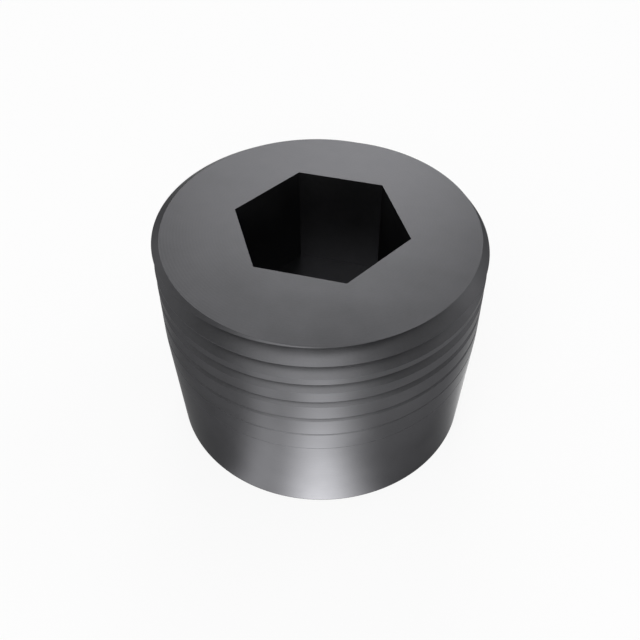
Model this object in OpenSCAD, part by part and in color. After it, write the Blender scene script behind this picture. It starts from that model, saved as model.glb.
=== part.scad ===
// Orifice plug: a threaded plug with a hexagon socket and a metering orifice.
// It stands on its small end, with the axis along +Z and the origin at the centre of that end.
// The blank is straight at the large end and then tapered. The thread is full at the large end
// and fades towards the small one.

/* [Body] */
// Diameter over the thread crests at the large end
large_end_d = 17.15; // [15:0.05:22]
// Length from the small end to the large end
body_len = 12.4; // [11:0.1:18]
// Length of the straight part below the large end
straight_len = 5.7; // [2:0.1:9]
// Slope of the tapered part, on each side
taper_angle = 3; // [1:0.25:6]

/* [Thread] */
// Height from turn to turn
thread_pitch = 1.23; // [0.9:0.01:1.8]
// Power of the height with which the thread's depth falls
thread_fade = 3; // [1.5:0.25:5]

/* [Hexagon socket] */
// Width of the socket across its flats
socket_af = 8; // [5:0.1:9]
// Depth of the socket's flat floor below the large end
socket_depth = 5.9; // [4:0.1:8]

/* [Orifice] */
// Diameter of the orifice through the socket's floor
orifice_d = 1.6; // [0.5:0.1:4]

/* [Hidden] */
// Facets of the round surfaces
round_fn = 96;
// Sides of the socket
socket_sides = 6;
// How far a cutter runs past the face that it opens
cut_past = 1;
// Steps of the thread in one turn
thread_steps = 48;
// Angle about the axis at which a crest meets the large end
thread_start = -72;
// Slope of the thread's flanks, which stand 60 degrees apart
flank_slope = tan(60);
// Flat left on the crests at the large end, as a share of the pitch
crest_share = 0.075;
// How far the thread's form stands off the blank between its grooves
form_clear = 0.05;
// Depth below which the fading groove leaves no mark
least_depth = 0.03;
// Rows of points on one turn of the thread's form: its upper edge, its root and its lower edge
turn_rows = 3;

taper_len = body_len - straight_len;
large_end_r = large_end_d / 2;
small_end_r = large_end_r - taper_len * tan(taper_angle);
socket_floor_z = body_len - socket_depth;
socket_corner_d = socket_af / cos(180 / socket_sides);
full_depth = thread_pitch * (1 - crest_share) * flank_slope / 2;
// One turn more than the body holds at the large end, and two at the small end
thread_turns = ceil(body_len / thread_pitch) + 3;
last_row = thread_turns * turn_rows;

// Half section of the turned blank, with sharp ends
function blank_section() = [
    [0, 0],
    [small_end_r, 0],
    [large_end_r, taper_len],
    [large_end_r, body_len],
    [0, body_len]
];

// Radius of the blank at a height
function blank_r(z) = large_end_r - max(0, taper_len - z) * tan(taper_angle);

// Depth of the groove whose upper edge is at a height; a little below 0 where it has run out
function groove_depth(z) =
    let (left = max(0, min(1, z / body_len)))
    max(-form_clear / 2, full_depth * pow(left, thread_fade) - least_depth);

// Height of the groove's upper edge after a number of steps and turns
function edge_z(step, turn) = body_len + thread_pitch * (step / thread_steps + 1 - turn);

// Radius and height of a point of the thread's form
function form_point(z, part) =
    let (depth = groove_depth(z))
    part == 0 ? [blank_r(z) + form_clear, z + form_clear / flank_slope] :
    part == 1 ? [blank_r(z) - depth, z - depth / flank_slope] :
    [blank_r(z) + form_clear, z - (2 * depth + form_clear) / flank_slope];

function place(step, row) =
    let (
        point = form_point(edge_z(step, floor(row / turn_rows)), row % turn_rows),
        angle = thread_start + 360 * step / thread_steps
    )
    [point[0] * cos(angle), point[0] * sin(angle), point[1]];

// Number of a point. A full turn on, a row is the row one turn up, apart from the first turn's.
function number(step, row) =
    step < thread_steps ? step * (last_row + 1) + row :
    row >= turn_rows ? row - turn_rows :
    thread_steps * (last_row + 1) + row;

module turned_blank() {
    rotate_extrude($fn = round_fn)
        polygon(blank_section());
}

// The right-hand V thread's form, from above the large end to below the small end
module thread_form() {
    top = number(thread_steps, turn_rows - 1) + 1;
    bottom = top + 1;
    points = concat(
        [for (step = [0 : thread_steps - 1], row = [0 : last_row]) place(step, row)],
        [for (row = [0 : turn_rows - 1]) place(thread_steps, row)],
        [[0, 0, body_len + thread_pitch], [0, 0, -thread_pitch]]
    );
    sides = [
        for (step = [0 : thread_steps - 1], row = [0 : last_row - 1], half = [0, 1])
            half == 0 ?
                [number(step, row), number(step + 1, row), number(step + 1, row + 1)] :
                [number(step, row), number(step + 1, row + 1), number(step, row + 1)]
    ];
    top_cap = concat(
        [for (step = [0 : thread_steps - 1]) [top, number(step + 1, 0), number(step, 0)]],
        [for (row = [0 : turn_rows - 1])
            [top, number(thread_steps, row + 1), number(thread_steps, row)]]
    );
    bottom_cap = concat(
        [for (step = [0 : thread_steps - 1])
            [bottom, number(step, last_row), number(step + 1, last_row)]],
        [for (row = [last_row - turn_rows : last_row - 1]) [bottom, number(0, row), number(0, row + 1)]]
    );
    polyhedron(points = points, faces = concat(sides, top_cap, bottom_cap));
}

// The broached hexagon, with corners on the X axis and a flat floor
module hexagon_socket() {
    translate([0, 0, socket_floor_z])
        cylinder(h = socket_depth + cut_past, d = socket_corner_d, $fn = socket_sides);
}

// The drilled orifice, from the small end up into the socket
module orifice() {
    translate([0, 0, -cut_past])
        cylinder(h = socket_floor_z + 2 * cut_past, d = orifice_d, $fn = round_fn);
}

module plug_body() {
    color([0.34, 0.34, 0.35])
        difference() {
            intersection() {
                turned_blank();
                thread_form();
            }
            hexagon_socket();
            orifice();
        }
}

plug_body();
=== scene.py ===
# Orifice plug: the threaded body, its black oxide steel, and the studio that it stands in.
# Everything is in metres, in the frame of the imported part: the plug stands on its small end,
# with its axis along +Z and a corner of the hexagon socket on +X.
import math

import bpy
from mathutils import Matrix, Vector


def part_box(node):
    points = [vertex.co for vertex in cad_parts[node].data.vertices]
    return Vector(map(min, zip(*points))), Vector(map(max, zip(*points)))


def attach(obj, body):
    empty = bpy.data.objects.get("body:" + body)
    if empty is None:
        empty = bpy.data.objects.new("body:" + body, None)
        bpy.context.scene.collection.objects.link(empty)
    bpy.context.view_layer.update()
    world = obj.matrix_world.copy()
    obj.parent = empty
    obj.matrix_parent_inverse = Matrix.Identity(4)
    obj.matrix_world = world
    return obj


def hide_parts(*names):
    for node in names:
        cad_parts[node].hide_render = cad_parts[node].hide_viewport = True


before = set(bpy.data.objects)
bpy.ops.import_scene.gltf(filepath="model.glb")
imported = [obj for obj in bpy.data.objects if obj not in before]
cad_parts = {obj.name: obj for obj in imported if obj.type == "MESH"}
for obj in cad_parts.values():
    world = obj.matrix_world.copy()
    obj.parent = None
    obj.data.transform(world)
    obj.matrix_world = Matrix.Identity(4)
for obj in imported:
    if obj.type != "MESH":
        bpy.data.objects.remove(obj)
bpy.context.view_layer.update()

MM = 0.001

# Sizes of the plug, in millimetres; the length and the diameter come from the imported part
low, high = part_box("plug_body")
BODY_LEN = (high.z - low.z) / MM
CREST_R = high.x / MM
STRAIGHT_LEN = 5.7
TAPER = math.tan(math.radians(3))
SOCKET_SIDES = 6
SOCKET_AF = 8.0
SOCKET_CORNER_R = SOCKET_AF / math.sqrt(3)
SOCKET_DEPTH = 5.9
ORIFICE_R = 0.8

# The right-hand V thread, from its first edge at START_ANGLE on the large end. The full depth is
# that of an even V whose crest takes CREST_SHARE of the pitch. It falls with a power of the
# height, FADE, and LEAST_DEPTH is taken off it, so that the groove ends above the small end.
# The lower flank leans more than an even V's, and nearly reaches the next edge, as the rim of
# the large end shows in the photo.
PITCH = 1.23
FLANK_SLOPE = math.tan(math.radians(60))
LOWER_SLOPE = math.tan(math.radians(55))
CREST_SHARE = 0.075
FULL_DEPTH = PITCH * (1 - CREST_SHARE) * FLANK_SLOPE / 2
LEAST_DEPTH = 0.03
FADE = 3.0
START_ANGLE = -72

# The mesh: turns of the thread from above the large end to below the small one, columns round
# the axis, rows in a turn, the fold in degrees from which an edge is drawn sharp, and the
# distance in millimetres at which points become one
TURNS = 12
COLUMNS = 360
ROWS_PER_TURN = 4
SHARP_ANGLE = 20
WELD = 0.0001


def linear(hex_colour):
    """An sRGB hex colour as the linear RGBA that Blender's shaders take."""
    parts = [int(hex_colour[i:i + 2], 16) / 255 for i in (1, 3, 5)]
    curve = [p / 12.92 if p <= 0.04045 else ((p + 0.055) / 1.055) ** 2.4 for p in parts]
    return (*curve, 1.0)


def add_node(tree, kind, links=None, **settings):
    """Adds a node; links maps its inputs, by name or number, to a socket or a plain value."""
    node = tree.nodes.new(kind)
    for name, value in settings.items():
        setattr(node, name, value)
    for key, value in (links or {}).items():
        if isinstance(value, bpy.types.NodeSocket):
            tree.links.new(value, node.inputs[key])
        else:
            node.inputs[key].default_value = value
    return node


# Threaded body

# The rule of the threaded body, one step a line: the result's name, the sum that makes it,
# and what goes in. A column is a half plane through the axis. A row runs along the thread
# until the closing rows, which take the small end, the orifice, the socket and the large end.
BODY_RULE = [
    ("column", "DIVIDE", "index", "rows_up"),
    ("column", "FLOOR", "column"),
    ("row", "FLOORED_MODULO", "index", "rows_up"),
    ("share", "DIVIDE", "column", "columns"),
    ("angle", "MULTIPLY_ADD", "share", math.tau, "start_angle"),
    # Height of the thread's first edge in this column, and of this row's own edge
    ("first_edge", "MULTIPLY_ADD", "share", "pitch", "body_len"),
    ("turn", "DIVIDE", "row", ROWS_PER_TURN),
    ("turn", "FLOOR", "turn"),
    ("part", "FLOORED_MODULO", "row", ROWS_PER_TURN),
    ("fallen", "MULTIPLY", "turn", "pitch"),
    ("own_edge", "SUBTRACT", "first_edge", "fallen"),
    # Depth of the groove that hangs from the row's own edge, and the heights of its flanks
    ("kept", "DIVIDE", "own_edge", "body_len"),
    ("kept", "MAXIMUM", "kept", 0.0),
    ("kept", "MINIMUM", "kept", 1.0),
    ("own_depth", "POWER", "kept", "fade"),
    ("own_depth", "MULTIPLY", "own_depth", "full_depth"),
    ("own_depth", "SUBTRACT", "own_depth", "least_depth"),
    ("own_depth", "MAXIMUM", "own_depth", 0.0),
    ("upper", "DIVIDE", "own_depth", "flank_slope"),
    ("lower", "DIVIDE", "own_depth", "lower_slope"),
    ("land", "SUBTRACT", "pitch", "upper"),
    ("land", "SUBTRACT", "land", "lower"),
    ("half_land", "MULTIPLY", "land", 0.5),
    # Parts of a turn: 0 the edge, 1 the root, 2 the lower edge, 3 the middle of the land
    ("past_edge", "GREATER_THAN", "part", 0.5),
    ("past_root", "GREATER_THAN", "part", 1.5),
    ("on_land", "GREATER_THAN", "part", 2.5),
    ("down", "MULTIPLY", "past_edge", "upper"),
    ("down", "MULTIPLY_ADD", "past_root", "lower", "down"),
    ("down", "MULTIPLY_ADD", "on_land", "half_land", "down"),
    ("thread_z", "SUBTRACT", "own_edge", "down"),
    ("thread_z", "MAXIMUM", "thread_z", 0.0),
    ("thread_z", "MINIMUM", "thread_z", "body_len"),
    # Which closing row it is, from 1; 0 on the thread
    ("closing", "SUBTRACT", "row", "thread_rows"),
    ("closing", "MAXIMUM", "closing", 0.0),
    ("floor_z", "SUBTRACT", "body_len", "socket_depth"),
    # Distance to the socket's wall in this column
    ("sector", "FLOORED_MODULO", "angle", math.tau / SOCKET_SIDES),
    ("sector", "SUBTRACT", "sector", math.pi / SOCKET_SIDES),
    ("sector", "COSINE", "sector"),
    ("apothem", "MULTIPLY", "socket_af", 0.5),
    ("wall_r", "DIVIDE", "apothem", "sector"),
]

# The radius over the thread at height z, worked out again from z, so that the two end planes
# cut the grooves where they really cross them
RADIUS_RULE = [
    # The nearest edge above, and the body's radius there
    ("gap", "SUBTRACT", "first_edge", "z"),
    ("gap", "FLOORED_MODULO", "gap", "pitch"),
    ("edge", "ADD", "z", "gap"),
    ("edge_tapered", "SUBTRACT", "body_len", "edge"),
    ("edge_tapered", "SUBTRACT", "edge_tapered", "straight_len"),
    ("edge_tapered", "MAXIMUM", "edge_tapered", 0.0),
    ("edge_r", "MULTIPLY", "edge_tapered", "taper"),
    ("edge_r", "SUBTRACT", "crest_r", "edge_r"),
    # Depth of the groove below that edge, and how far z lies above and below its root
    ("left", "DIVIDE", "edge", "body_len"),
    ("left", "MAXIMUM", "left", 0.0),
    ("left", "MINIMUM", "left", 1.0),
    ("depth", "POWER", "left", "fade"),
    ("depth", "MULTIPLY", "depth", "full_depth"),
    ("depth", "SUBTRACT", "depth", "least_depth"),
    ("depth", "MAXIMUM", "depth", 0.0),
    ("root_gap", "DIVIDE", "depth", "flank_slope"),
    ("above_root", "SUBTRACT", "root_gap", "gap"),
    ("above_root", "MAXIMUM", "above_root", 0.0),
    ("below_root", "SUBTRACT", "gap", "root_gap"),
    ("below_root", "MAXIMUM", "below_root", 0.0),
    # Radius in the groove, and on the body without it; the smaller one is the surface
    ("groove_r", "SUBTRACT", "edge_r", "depth"),
    ("groove_r", "MULTIPLY_ADD", "above_root", "flank_slope", "groove_r"),
    ("groove_r", "MULTIPLY_ADD", "below_root", "lower_slope", "groove_r"),
    ("tapered", "SUBTRACT", "body_len", "z"),
    ("tapered", "SUBTRACT", "tapered", "straight_len"),
    ("tapered", "MAXIMUM", "tapered", 0.0),
    ("body_r", "MULTIPLY", "tapered", "taper"),
    ("body_r", "SUBTRACT", "crest_r", "body_r"),
    ("thread_r", "MINIMUM", "groove_r", "body_r"),
]

# Height and radius of a row on the thread, and then of each closing row: the orifice's lower
# end, at height 0, and its upper end, the foot of the socket's wall, the socket's mouth, and
# the rim of the large end
ROW_PLACES = [
    ("thread_z", "thread_r"),
    (None, "orifice_r"),
    ("floor_z", "orifice_r"),
    ("floor_z", "wall_r"),
    ("body_len", "wall_r"),
    ("body_len", "thread_r"),
]

# A point's place in metres, from its angle, its radius and its height
PLACE_RULE = [
    ("cos", "COSINE", "angle"),
    ("sin", "SINE", "angle"),
    ("x", "MULTIPLY", "r", "cos"),
    ("y", "MULTIPLY", "r", "sin"),
    ("x", "MULTIPLY", "x", MM),
    ("y", "MULTIPLY", "y", MM),
    ("z", "MULTIPLY", "z", MM),
]

BODY_INPUTS = {
    "body_len": BODY_LEN,
    "crest_r": CREST_R,
    "straight_len": STRAIGHT_LEN,
    "taper": TAPER,
    "pitch": PITCH,
    "full_depth": FULL_DEPTH,
    "least_depth": LEAST_DEPTH,
    "fade": FADE,
    "flank_slope": FLANK_SLOPE,
    "lower_slope": LOWER_SLOPE,
    "start_angle": math.radians(START_ANGLE),
    "socket_af": SOCKET_AF,
    "socket_depth": SOCKET_DEPTH,
    "orifice_r": ORIFICE_R,
    "columns": COLUMNS,
    "turns": TURNS,
}


def work_out(tree, rule, named):
    """Adds the sums of a rule to the tree, and keeps each result under its name."""
    for name, operation, *terms in rule:
        links = {i: named[t] if isinstance(t, str) else t for i, t in enumerate(terms)}
        named[name] = add_node(tree, "ShaderNodeMath", links, operation=operation).outputs[0]


def body_tree(material):
    """The tree that makes the whole closed body as one grid, bent round the axis."""
    tree = bpy.data.node_groups.new("threaded_body", "GeometryNodeTree")
    for name, value in BODY_INPUTS.items():
        kind = "NodeSocketInt" if isinstance(value, int) else "NodeSocketFloat"
        tree.interface.new_socket(name, in_out="INPUT", socket_type=kind)
    tree.interface.new_socket("mesh", in_out="OUTPUT", socket_type="NodeSocketGeometry")
    start = add_node(tree, "NodeGroupInput")
    named = {name: start.outputs[name] for name in BODY_INPUTS}
    named["index"] = add_node(tree, "GeometryNodeInputIndex").outputs[0]
    work_out(tree, [
        ("thread_rows", "MULTIPLY", "turns", ROWS_PER_TURN),
        ("rows_up", "ADD", "thread_rows", len(ROW_PLACES)),
        ("columns_round", "ADD", "columns", 1),
    ], named)
    grid = add_node(tree, "GeometryNodeMeshGrid", {
        "Vertices X": named["columns_round"], "Vertices Y": named["rows_up"]})
    work_out(tree, BODY_RULE, named)
    # A new switch has two items, and its first input is the index
    z_of_row = add_node(tree, "GeometryNodeIndexSwitch", data_type="FLOAT")
    r_of_row = add_node(tree, "GeometryNodeIndexSwitch", data_type="FLOAT")
    for switch in (z_of_row, r_of_row):
        for _ in ROW_PLACES[2:]:
            switch.index_switch_items.new()
        tree.links.new(named["closing"], switch.inputs[0])
    for item, (height, _) in enumerate(ROW_PLACES, 1):
        if height:
            tree.links.new(named[height], z_of_row.inputs[item])
    named["z"] = z_of_row.outputs[0]
    work_out(tree, RADIUS_RULE, named)
    for item, (_, radius) in enumerate(ROW_PLACES, 1):
        tree.links.new(named[radius], r_of_row.inputs[item])
    named["r"] = r_of_row.outputs[0]
    work_out(tree, PLACE_RULE, named)
    place = add_node(tree, "ShaderNodeCombineXYZ", {
        "X": named["x"], "Y": named["y"], "Z": named["z"]})
    bent = add_node(tree, "GeometryNodeSetPosition", {
        "Geometry": grid.outputs[0], "Position": place.outputs[0]})
    welded = add_node(tree, "GeometryNodeMergeByDistance", {
        "Geometry": bent.outputs[0], "Distance": WELD * MM})
    outward = add_node(tree, "GeometryNodeFlipFaces", {0: welded.outputs[0]})
    smooth = add_node(tree, "GeometryNodeSetShadeSmooth", {0: outward.outputs[0]}, domain="FACE")
    fold = add_node(tree, "GeometryNodeInputMeshEdgeAngle")
    sharp = add_node(tree, "ShaderNodeMath", {
        0: fold.outputs[0], 1: math.radians(SHARP_ANGLE)}, operation="GREATER_THAN")
    creased = add_node(tree, "GeometryNodeSetShadeSmooth", {
        0: smooth.outputs[0], 1: sharp.outputs[0], 2: False}, domain="EDGE")
    real = add_node(tree, "GeometryNodeRealizeInstances", {0: creased.outputs[0]})
    coated = add_node(tree, "GeometryNodeSetMaterial", {0: real.outputs[0], "Material": material})
    add_node(tree, "NodeGroupOutput", {0: coated.outputs[0]})
    return tree


def made_by(tree, name, values):
    """Runs a tree with its inputs set, and returns the finished mesh as a plain object."""
    carrier = bpy.data.objects.new(name + "_carrier", bpy.data.meshes.new(name + "_carrier"))
    bpy.context.scene.collection.objects.link(carrier)
    modifier = carrier.modifiers.new("rule", "NODES")
    modifier.node_group = tree
    for item in tree.interface.items_tree:
        if item.in_out == "INPUT":
            modifier[item.identifier] = values[item.name]
    bpy.context.view_layer.update()
    seen = carrier.evaluated_get(bpy.context.evaluated_depsgraph_get())
    mesh = bpy.data.meshes.new_from_object(seen)
    carrier.modifiers.clear()
    bpy.data.objects.remove(carrier)
    piece = bpy.data.objects.new(name, mesh)
    bpy.context.scene.collection.objects.link(piece)
    return piece


# Materials

STEEL_COLOUR = "#565658"
STEEL_EDGE_TINT = "#AAAAAA"
STEEL_ROUGHNESS = 0.35
FLOOR_COLOUR = "#F0F0F0"
WHITE = "#FFFFFF"

# Sizes of the marks on the steel, in millimetres. A real tool's feed is finer than a pixel here,
# so the turning marks are drawn as coarse as a render can show. WALL_EDGE is how near to the
# socket's edges a point still counts as on a flat face.
TURNING_FEED = 0.16
BROACH_LINE = 0.3
OXIDE_PATCH = 3.5
OXIDE_GRAIN = 0.12
MARK_HEIGHT = 0.0003
WALL_EDGE = 0.01

# How much finer detail each mark holds, and how ragged the patches of oxide are
BROACH_DETAIL = 2.0
PATCH_DETAIL = 3.0
PATCH_RAGGED = 0.55
GRAIN_DETAIL = 2.0

# How strongly each mark changes the steel's tone and its roughness, and the grain's height as a
# multiple of the turning marks'
PATCH_TONE = 0.5
GRAIN_TONE = 0.12
MARK_TONE = 0.01
PATCH_ROUGHNESS = 0.12
GRAIN_ROUGHNESS = 0.10
GRAIN_HEIGHT = 1.5

# Rings round the axis on a flat end and turns along the side; then the lines of the broach,
# which stand on the socket's walls only
MARKS_RULE = [
    ("x", "DIVIDE", "x", MM),
    ("y", "DIVIDE", "y", MM),
    ("z", "DIVIDE", "z", MM),
    ("r", "MULTIPLY", "x", "x"),
    ("r", "MULTIPLY_ADD", "y", "y", "r"),
    ("r", "SQRT", "r"),
    ("angle", "ARCTAN2", "y", "x"),
    ("across", "ADD", "r", "z"),
    ("across", "MULTIPLY_ADD", "angle", -TURNING_FEED / math.tau, "across"),
    ("turned", "MULTIPLY", "across", math.tau / TURNING_FEED),
    ("turned", "SINE", "turned"),
    ("along_wall", "MULTIPLY", "angle", SOCKET_AF / 2 / BROACH_LINE),
    ("on_wall", "LESS_THAN", "r", SOCKET_CORNER_R + WALL_EDGE),
    ("below_end", "LESS_THAN", "z", BODY_LEN - WALL_EDGE),
    ("above_floor", "GREATER_THAN", "z", BODY_LEN - SOCKET_DEPTH + WALL_EDGE),
    ("on_wall", "MULTIPLY", "on_wall", "below_end"),
    ("on_wall", "MULTIPLY", "on_wall", "above_floor"),
]

# The steel's tone, roughness and height, from its patches, its grain and its marks
TONE_RULE = [
    ("patches", "SUBTRACT", "patches", 0.5),
    ("grain", "SUBTRACT", "grain", 0.5),
    ("tone", "MULTIPLY_ADD", "patches", PATCH_TONE, 1.0),
    ("tone", "MULTIPLY_ADD", "grain", GRAIN_TONE, "tone"),
    ("tone", "MULTIPLY_ADD", "marks", MARK_TONE, "tone"),
    ("rough", "MULTIPLY_ADD", "patches", PATCH_ROUGHNESS, STEEL_ROUGHNESS),
    ("rough", "MULTIPLY_ADD", "grain", GRAIN_ROUGHNESS, "rough"),
    ("height", "MULTIPLY_ADD", "grain", GRAIN_HEIGHT, "marks"),
]


def black_oxide_turned_steel():
    """Turned steel, blackened in a hot oxide bath: a dark grey metal with a satin gloss. The
    tool leaves fine rings on the ends and fine turns on the sides, the broach leaves upright
    lines in the socket, and the bath leaves faint patches. The edge tint is low, because the
    oxide takes in what a bare metal would throw back at a glancing angle."""
    material = bpy.data.materials.new("black_oxide_turned_steel")
    material.use_nodes = True
    tree = material.node_tree
    tree.nodes.clear()
    place = add_node(tree, "ShaderNodeTexCoord").outputs["Object"]
    split = add_node(tree, "ShaderNodeSeparateXYZ", {0: place}).outputs
    named = {"x": split[0], "y": split[1], "z": split[2]}
    work_out(tree, MARKS_RULE, named)
    broached = add_node(tree, "ShaderNodeTexNoise", {
        "W": named["along_wall"], "Scale": 1.0, "Detail": BROACH_DETAIL}, noise_dimensions="1D")
    marks = add_node(tree, "ShaderNodeMix", {
        0: named["on_wall"], 2: named["turned"], 3: broached.outputs[0]})
    patches = add_node(tree, "ShaderNodeTexNoise", {
        "Vector": place, "Scale": 1 / (OXIDE_PATCH * MM), "Detail": PATCH_DETAIL,
        "Roughness": PATCH_RAGGED})
    grain = add_node(tree, "ShaderNodeTexNoise", {
        "Vector": place, "Scale": 1 / (OXIDE_GRAIN * MM), "Detail": GRAIN_DETAIL})
    named["marks"] = marks.outputs[0]
    named["patches"] = patches.outputs[0]
    named["grain"] = grain.outputs[0]
    work_out(tree, TONE_RULE, named)
    colour = add_node(tree, "ShaderNodeVectorMath", {
        0: linear(STEEL_COLOUR)[:3], 1: named["tone"]}, operation="MULTIPLY")
    bump = add_node(tree, "ShaderNodeBump", {
        "Height": named["height"], "Distance": MARK_HEIGHT * MM, "Strength": 1.0})
    shader = add_node(tree, "ShaderNodeBsdfPrincipled", {
        "Base Color": colour.outputs[0], "Metallic": 1.0, "Roughness": named["rough"],
        "Specular Tint": linear(STEEL_EDGE_TINT), "Normal": bump.outputs[0]})
    add_node(tree, "ShaderNodeOutputMaterial", {"Surface": shader.outputs[0]})
    return material


# How white the floor is by itself: to the camera, and in what the metal shows
WHITE_IN_CAMERA = 0.85
WHITE_IN_METAL = 0.2

# The share of its own white that each kind of ray sees
FLOOR_RULE = [
    ("shown", "ADD", "glossy", "transmitted"),
    ("shown", "MULTIPLY", "shown", WHITE_IN_METAL),
    ("own_white", "MULTIPLY_ADD", "camera", WHITE_IN_CAMERA, "shown"),
]


def matt_white_floor():
    """A matt white studio floor. Part of its white is its own, so that it shows as a white
    ground, and the rest is lit, so that it keeps the plug's soft shadow."""
    material = bpy.data.materials.new("matt_white_floor")
    material.use_nodes = True
    tree = material.node_tree
    tree.nodes.clear()
    ray = add_node(tree, "ShaderNodeLightPath").outputs
    named = {"camera": ray["Is Camera Ray"], "glossy": ray["Is Glossy Ray"],
             "transmitted": ray["Is Transmission Ray"]}
    work_out(tree, FLOOR_RULE, named)
    matt = add_node(tree, "ShaderNodeBsdfDiffuse", {"Color": linear(FLOOR_COLOUR)})
    white = add_node(tree, "ShaderNodeEmission", {"Color": linear(WHITE), "Strength": 1.0})
    mixed = add_node(tree, "ShaderNodeMixShader", {
        0: named["own_white"], 1: matt.outputs[0], 2: white.outputs[0]})
    add_node(tree, "ShaderNodeOutputMaterial", {"Surface": mixed.outputs[0]})
    return material


# Studio and camera

# The camera, worked out from the socket's corners, the outline and the thread in the photo.
# CAMERA_AZIMUTH is how far it stands to the side, so that the socket shows as it does there.
CAMERA_AIM = Vector((0, 0, 6.2 * MM))
CAMERA_DISTANCE = 46.9 * MM
CAMERA_NEAR = 1 * MM
CAMERA_ELEVATION = 44.6
CAMERA_AZIMUTH = 14.9
CAMERA_SENSOR = 36
CAMERA_LENS = 47.3
CAMERA_SHIFT = (-0.002, -0.014)

# Half the floor's width, and the distance of the softboxes, in metres
FLOOR_HALF = 0.6
LAMP_DISTANCE = 0.5
# The backdrop's strength overhead, and the elevation at which it gets there
OVERHEAD = 0.4
BACKDROP_TOP = 20

# Azimuths in the studio count from the camera's right, and this is the camera's own
CAMERA_SIDE = -90

# Softboxes: azimuth, elevation, width and height in degrees as the plug sees them, and radiance
SOFTBOXES = {
    "back_right": (82.5, 30, 15, 20, 4.9),
    "back_left": (97.5, 30, 15, 20, 3.6),
    "back_high": (105, 45, 30, 10, 0.6),
    "right_high": (30, 37.5, 30, 25, 1.7),
    "front_key": (-90, 37.5, 30, 25, 5.3),
    "left_key": (-120, 37.5, 30, 25, 2.4),
    "top_front": (-90, 62.5, 45, 25, 2.0),
    "top_left": (-135, 62.5, 45, 25, 1.3),
    "right_low": (0, 12.5, 30, 25, 0.9),
    "left_low": (165, 12.5, 60, 25, 0.4),
}

# Pools of light on the floor round the plug: azimuth, spread to each side in degrees, the
# millimetres in which the light falls to a third, radiance, and the height in millimetres
# above the floor, which is another for each pool, so that no two lie in one plane
GLOWS = {
    "front_glow": (-90.5, 10.5, 7.5, 7.5, 0.02),
    "left_glow": (-118, 6, 13, 2.3, 0.05),
    "right_glow": (0, 14, 6, 2.6, 0.08),
}
# A pool's rectangle, in millimetres: its near end's distance from the axis, its length and its
# width. Its radiance holds at GLOW_FOOT from the axis, just in front of the plug.
GLOW_NEAR = 6
GLOW_LENGTH = 20
GLOW_WIDTH = 24
GLOW_FOOT = 8.6

# The light of a pool at u across and v along its rectangle
GLOW_RULE = [
    ("across", "SUBTRACT", "u", 0.5),
    ("across", "MULTIPLY", "across", GLOW_WIDTH),
    ("away", "MULTIPLY_ADD", "v", GLOW_LENGTH, GLOW_NEAR),
    ("aside", "ARCTAN2", "across", "away"),
    ("aside", "DIVIDE", "aside", "spread"),
    ("aside", "MULTIPLY", "aside", "aside"),
    ("far", "MULTIPLY", "across", "across"),
    ("far", "MULTIPLY_ADD", "away", "away", "far"),
    ("far", "SQRT", "far"),
    ("far", "SUBTRACT", "far", GLOW_FOOT),
    ("far", "DIVIDE", "far", "fall"),
    ("faded", "MULTIPLY_ADD", "aside", 0.5, "far"),
    ("faded", "MULTIPLY", "faded", -1.0),
    ("faded", "EXPONENT", "faded"),
    ("strength", "MULTIPLY", "faded", "radiance"),
]


def towards(azimuth, elevation):
    """The direction from the plug to a place, by its azimuth from the camera's right."""
    turn = math.radians(azimuth + CAMERA_AZIMUTH)
    rise = math.radians(elevation)
    level = math.cos(rise)
    return Vector((level * math.cos(turn), level * math.sin(turn), math.sin(rise)))


def softbox(name, azimuth, elevation, wide, high, radiance):
    """A rectangular area lamp, turned towards the plug."""
    lamp = bpy.data.lights.new(name, "AREA")
    lamp.shape = "RECTANGLE"
    # A step in azimuth is shorter the higher it is
    level = math.cos(math.radians(elevation))
    lamp.size = 2 * LAMP_DISTANCE * math.tan(math.radians(wide / 2)) * level
    lamp.size_y = 2 * LAMP_DISTANCE * math.tan(math.radians(high / 2))
    lamp.energy = radiance * math.pi * lamp.size * lamp.size_y
    away = towards(azimuth, elevation)
    holder = bpy.data.objects.new(name, lamp)
    holder.location = CAMERA_AIM + away * LAMP_DISTANCE
    holder.rotation_euler = (-away).to_track_quat("-Z", "Y").to_euler()
    bpy.context.scene.collection.objects.link(holder)


def floor_glow(name, azimuth, spread, fall, radiance, lift):
    """A pool of light on the floor, which falls off to its sides and away from the plug."""
    lamp = bpy.data.lights.new(name, "AREA")
    lamp.shape = "RECTANGLE"
    lamp.size = GLOW_WIDTH * MM
    lamp.size_y = GLOW_LENGTH * MM
    lamp.energy = math.pi * lamp.size * lamp.size_y
    lamp.use_nodes = True
    tree = lamp.node_tree
    tree.nodes.clear()
    uv = add_node(tree, "ShaderNodeNewGeometry").outputs["Parametric"]
    split = add_node(tree, "ShaderNodeSeparateXYZ", {0: uv}).outputs
    named = {"u": split[0], "v": split[1], "spread": math.radians(spread), "fall": fall,
             "radiance": radiance}
    work_out(tree, GLOW_RULE, named)
    glow = add_node(tree, "ShaderNodeEmission", {"Strength": named["strength"]})
    add_node(tree, "ShaderNodeOutputLight", {0: glow.outputs[0]})
    holder = bpy.data.objects.new(name, lamp)
    middle = (GLOW_NEAR + GLOW_LENGTH / 2) * MM
    holder.location = towards(azimuth, 0) * middle + Vector((0, 0, lift * MM))
    holder.rotation_euler = (math.pi, 0, math.radians(azimuth + CAMERA_AZIMUTH + 90))
    holder.visible_camera = False
    bpy.context.scene.collection.objects.link(holder)


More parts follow.
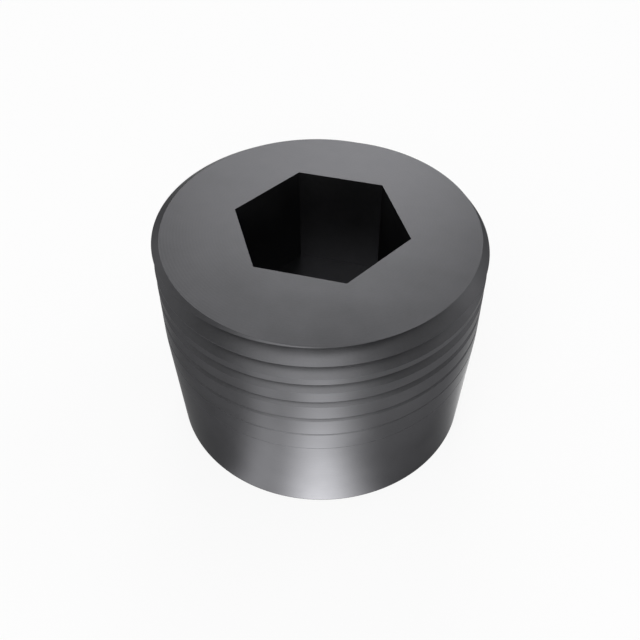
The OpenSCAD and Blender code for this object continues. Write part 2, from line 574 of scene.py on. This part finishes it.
def studio():
    """The floor, the world and the lamps."""
    floor_mesh = bpy.data.meshes.new("studio_floor")
    corners = [(-FLOOR_HALF, -FLOOR_HALF, 0), (FLOOR_HALF, -FLOOR_HALF, 0),
               (FLOOR_HALF, FLOOR_HALF, 0), (-FLOOR_HALF, FLOOR_HALF, 0)]
    floor_mesh.from_pydata(corners, [], [(0, 1, 2, 3)])
    floor = bpy.data.objects.new("studio_floor", floor_mesh)
    floor.data.materials.append(matt_white_floor())
    bpy.context.scene.collection.objects.link(floor)

    # A white backdrop all round, which darkens overhead
    world = bpy.data.worlds.new("studio_world")
    world.use_nodes = True
    tree = world.node_tree
    tree.nodes.clear()
    ray = add_node(tree, "ShaderNodeTexCoord").outputs["Generated"]
    up = add_node(tree, "ShaderNodeSeparateXYZ", {0: ray})
    rise = add_node(tree, "ShaderNodeMath", {0: up.outputs[2]}, operation="ARCSINE")
    fade = add_node(tree, "ShaderNodeMapRange", {
        "Value": rise.outputs[0], "From Min": 0.0, "From Max": math.radians(BACKDROP_TOP),
        "To Min": 1.0, "To Max": OVERHEAD}, interpolation_type="SMOOTHSTEP")
    backdrop = add_node(tree, "ShaderNodeBackground", {
        "Color": linear(WHITE), "Strength": fade.outputs[0]})
    add_node(tree, "ShaderNodeOutputWorld", {"Surface": backdrop.outputs[0]})
    bpy.context.scene.world = world

    for name, values in SOFTBOXES.items():
        softbox(name, *values)
    for name, values in GLOWS.items():
        floor_glow(name, *values)


def camera():
    """The photo's camera."""
    data = bpy.data.cameras.new("camera")
    data.lens = CAMERA_LENS
    data.sensor_width = CAMERA_SENSOR
    data.shift_x, data.shift_y = CAMERA_SHIFT
    data.clip_start = CAMERA_NEAR
    away = towards(CAMERA_SIDE, CAMERA_ELEVATION)
    holder = bpy.data.objects.new("camera", data)
    holder.location = CAMERA_AIM + away * CAMERA_DISTANCE
    holder.rotation_euler = (-away).to_track_quat("-Z", "Y").to_euler()
    bpy.context.scene.collection.objects.link(holder)
    bpy.context.scene.camera = holder


bpy.context.scene.view_settings.view_transform = "Standard"
steel = black_oxide_turned_steel()
plug = made_by(body_tree(steel), "threaded_body", BODY_INPUTS)
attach(plug, "root")
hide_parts("plug_body")
studio()
camera()
